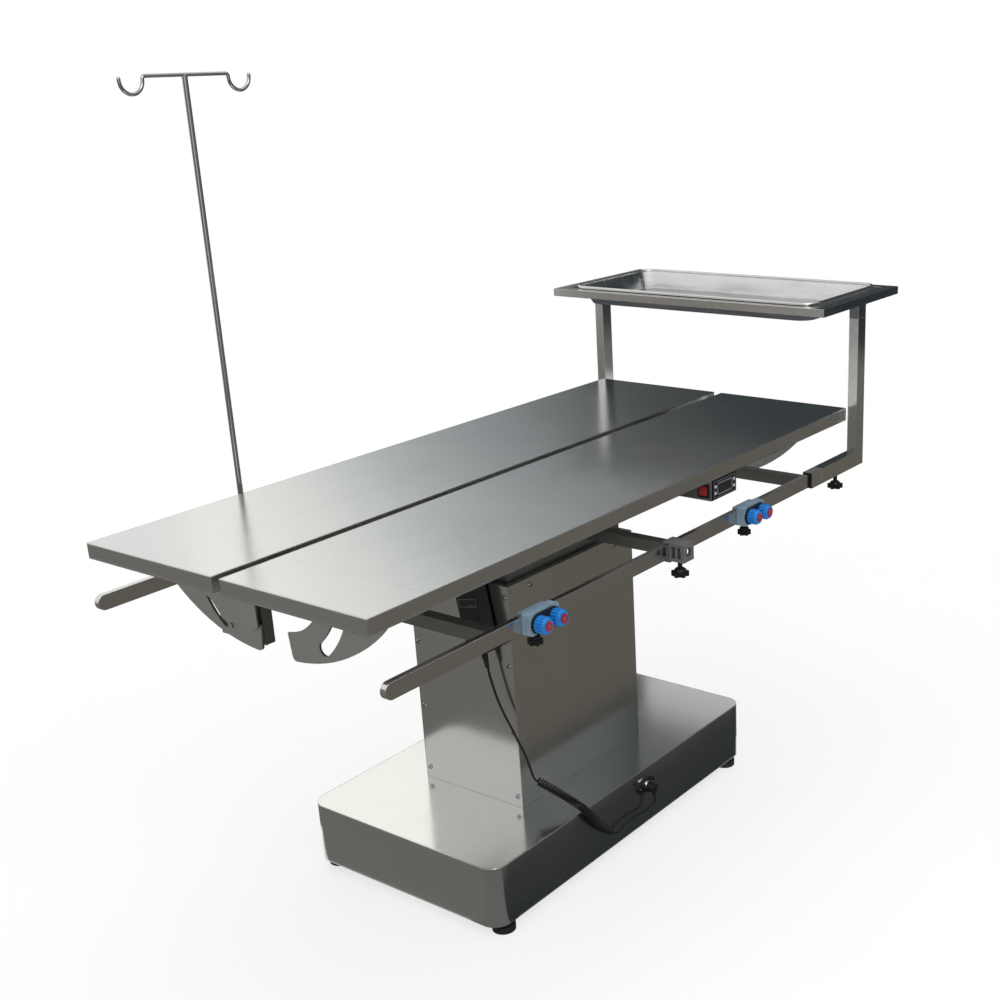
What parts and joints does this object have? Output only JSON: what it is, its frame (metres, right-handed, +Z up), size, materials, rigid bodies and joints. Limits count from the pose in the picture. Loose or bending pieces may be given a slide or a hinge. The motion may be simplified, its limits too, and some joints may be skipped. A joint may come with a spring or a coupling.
{
  "type": "veterinary surgery table",
  "caption": "Surgery table with two tilting steel panels on an electric lifting column, side rails with rope clamps, drip stand and raised instrument tray.",
  "frame": {"origin": "On the floor under the middle of the whole part's bounding box, with the column lowered.", "axes": "+Z up, +X along the table top towards the instrument tray, -Y to the side with the rope clamps."},
  "size_m": [1.477, 0.7032, 1.353],
  "materials": {
    "satin_steel": "satin brushed stainless steel sheet",
    "polished_steel": "polished stainless steel",
    "dark_frame": "dark satin paint on steel",
    "black_plastic": "fine matte black plastic",
    "black_rubber": "soft black rubber",
    "blue_plastic": "semi-gloss light blue plastic",
    "red_plastic": "semi-gloss red plastic",
    "grey_blue": "smooth grey-blue plastic",
    "cast_alloy": "blasted cast alloy"
  },
  "bodies": {
    "base": {"base_cover": "satin_steel", "base_frame": "dark_frame", "column_ends": "satin_steel", "column_sides": "satin_steel", "column_frame": "dark_frame", "column_screws": "satin_steel", "actuator_body": "dark_frame", "base_sockets": "black_plastic", "socket_ring": "satin_steel", "handset_holder": "satin_steel", "handset_shell": "black_plastic", "strain_relief": "black_rubber", "cord_upper": "black_rubber", "cord_coil": "black_rubber", "cord_lower": "black_rubber", "cord_plug": "black_plastic"},
    "foot_1": {"foot_near_right": "black_rubber"},
    "foot_2": {"foot_near_left": "black_rubber"},
    "foot_3": {"foot_far_right": "black_rubber"},
    "foot_4": {"foot_far_left": "black_rubber"},
    "up_key": {"key_up": "black_plastic"},
    "down_key": {"key_down": "black_plastic"},
    "lift": {"inner_sleeve": "dark_frame", "inner_guide": "satin_steel", "actuator_rod": "polished_steel", "table_frame": "satin_steel", "lock_brackets": "satin_steel", "rail_right": "satin_steel", "rail_left": "satin_steel", "hinge_pins": "polished_steel"},
    "right_lock": {"tilt_knob_right": "black_plastic"},
    "left_lock": {"tilt_knob_left": "black_plastic"},
    "right_panel": {"right_pan": "satin_steel", "right_tilt_plates": "satin_steel", "thermostat_box": "satin_steel", "control_bezels": "black_plastic"},
    "left_panel": {"left_pan": "satin_steel", "left_tilt_plates": "satin_steel"},
    "rocker": {"power_switch": "red_plastic"},
    "rope_clamp_1": {"rope_block_1": "grey_blue", "rope_pad_1": "black_plastic", "rope_caps_1": "red_plastic"},
    "cam_1a": {"rope_cam_1a": "blue_plastic"},
    "cam_1b": {"rope_cam_1b": "blue_plastic"},
    "clamp_knob_1": {"rope_knob_1": "black_plastic"},
    "rope_clamp_2": {"rope_block_2": "grey_blue", "rope_pad_2": "black_plastic", "rope_caps_2": "red_plastic"},
    "cam_2a": {"rope_cam_2a": "blue_plastic"},
    "cam_2b": {"rope_cam_2b": "blue_plastic"},
    "clamp_knob_2": {"rope_knob_2": "black_plastic"},
    "socket": {"socket_clamp": "cast_alloy"},
    "socket_screw": {"socket_knob": "black_plastic"},
    "stand_holder": {"stand_clamp": "cast_alloy"},
    "stand_screw": {"stand_knob": "black_plastic"},
    "stand_pole": {"drip_stand": "polished_steel"},
    "tray_support": {"tray_frame": "satin_steel"},
    "tray": {"tray_pan": "polished_steel"},
    "tray_screw_right": {"tray_knob_right": "black_plastic"},
    "tray_screw_left": {"tray_knob_left": "black_plastic"}
  },
  "joints": [
    {"name": "lift_column", "type": "slide", "parent": "base", "child": "lift", "axis": [0, 0, 1], "range_m": [0, 0.3]},
    {"name": "foot_1_level", "type": "slide", "parent": "base", "child": "foot_1", "axis": [0, 0, -1], "range_m": [0, 0.012]},
    {"name": "foot_2_level", "type": "slide", "parent": "base", "child": "foot_2", "axis": [0, 0, -1], "range_m": [0, 0.012]},
    {"name": "foot_3_level", "type": "slide", "parent": "base", "child": "foot_3", "axis": [0, 0, -1], "range_m": [0, 0.012]},
    {"name": "foot_4_level", "type": "slide", "parent": "base", "child": "foot_4", "axis": [0, 0, -1], "range_m": [0, 0.012]},
    {"name": "key_up_press", "type": "slide", "parent": "base", "child": "up_key", "axis": [1, 0, 0], "range_m": [0, 0.0015], "stiffness_N_per_m": 300},
    {"name": "key_down_press", "type": "slide", "parent": "base", "child": "down_key", "axis": [1, 0, 0], "range_m": [0, 0.0015], "stiffness_N_per_m": 300},
    {"name": "right_tilt", "type": "hinge", "parent": "lift", "child": "right_panel", "pos_m": [-0.0885, -0.01635, 0.676], "axis": [-1, 0, 0], "range_deg": [0, 34]},
    {"name": "left_tilt", "type": "hinge", "parent": "lift", "child": "left_panel", "pos_m": [-0.0885, 0.02165, 0.676], "axis": [1, 0, 0], "range_deg": [0, 34]},
    {"name": "right_lock_turn", "type": "hinge", "parent": "lift", "child": "right_lock", "pos_m": [-0.641, -0.14859, 0.64425], "axis": [1, 0, 0], "continuous": true},
    {"name": "left_lock_turn", "type": "hinge", "parent": "lift", "child": "left_lock", "pos_m": [-0.641, 0.15389, 0.64425], "axis": [1, 0, 0], "continuous": true},
    {"name": "power_rocker", "type": "hinge", "parent": "right_panel", "child": "rocker", "pos_m": [0.0745, -0.27835, 0.644], "axis": [0, 1, 0], "range_deg": [-6, 6]},
    {"name": "rope_clamp_1_slide", "type": "slide", "parent": "lift", "child": "rope_clamp_1", "axis": [1, 0, 0], "range_m": [-0.25, 0.27]},
    {"name": "cam_1a_turn", "type": "hinge", "parent": "rope_clamp_1", "child": "cam_1a", "pos_m": [-0.4441, -0.33735, 0.588], "axis": [0, -1, 0], "range_deg": [0, 50], "stiffness_Nm_per_rad": 0.03},
    {"name": "cam_1b_turn", "type": "hinge", "parent": "rope_clamp_1", "child": "cam_1b", "pos_m": [-0.4089, -0.33735, 0.588], "axis": [0, 1, 0], "range_deg": [0, 50], "stiffness_Nm_per_rad": 0.03},
    {"name": "clamp_knob_1_turn", "type": "hinge", "parent": "rope_clamp_1", "child": "clamp_knob_1", "pos_m": [-0.4265, -0.30735, 0.56], "axis": [0, 0, 1], "continuous": true},
    {"name": "rope_clamp_2_slide", "type": "slide", "parent": "lift", "child": "rope_clamp_2", "axis": [1, 0, 0], "range_m": [-0.17, 0.15]},
    {"name": "cam_2a_turn", "type": "hinge", "parent": "rope_clamp_2", "child": "cam_2a", "pos_m": [0.1419, -0.33735, 0.588], "axis": [0, -1, 0], "range_deg": [0, 50], "stiffness_Nm_per_rad": 0.03},
    {"name": "cam_2b_turn", "type": "hinge", "parent": "rope_clamp_2", "child": "cam_2b", "pos_m": [0.1771, -0.33735, 0.588], "axis": [0, 1, 0], "range_deg": [0, 50], "stiffness_Nm_per_rad": 0.03},
    {"name": "clamp_knob_2_turn", "type": "hinge", "parent": "rope_clamp_2", "child": "clamp_knob_2", "pos_m": [0.1595, -0.30735, 0.56], "axis": [0, 0, 1], "continuous": true},
    {"name": "socket_slide", "type": "slide", "parent": "lift", "child": "socket", "axis": [1, 0, 0], "range_m": [-0.27, 0.16]},
    {"name": "socket_knob_turn", "type": "hinge", "parent": "socket", "child": "socket_screw", "pos_m": [-0.0705, -0.32435, 0.56], "axis": [0, 0, 1], "continuous": true},
    {"name": "stand_slide", "type": "slide", "parent": "lift", "child": "stand_holder", "axis": [1, 0, 0], "range_m": [-0.25, 0.75]},
    {"name": "stand_knob_turn", "type": "hinge", "parent": "stand_holder", "child": "stand_screw", "pos_m": [-0.4195, 0.31265, 0.56], "axis": [0, 0, 1], "continuous": true},
    {"name": "stand_pole_turn", "type": "hinge", "parent": "stand_holder", "child": "stand_pole", "pos_m": [-0.4195, 0.33765, 0.7], "axis": [0, 0, 1], "continuous": true},
    {"name": "tray_slide", "type": "slide", "parent": "lift", "child": "tray_support", "axis": [1, 0, 0], "range_m": [0, 0.1]},
    {"name": "tray_lift_off", "type": "slide", "parent": "tray_support", "child": "tray", "axis": [0, 0, 1], "range_m": [0, 0.08]},
    {"name": "tray_knob_right_turn", "type": "hinge", "parent": "tray_support", "child": "tray_screw_right", "pos_m": [0.5015, -0.30735, 0.56], "axis": [0, 0, 1], "continuous": true},
    {"name": "tray_knob_left_turn", "type": "hinge", "parent": "tray_support", "child": "tray_screw_left", "pos_m": [0.5015, 0.31265, 0.56], "axis": [0, 0, 1], "continuous": true}
  ]
}
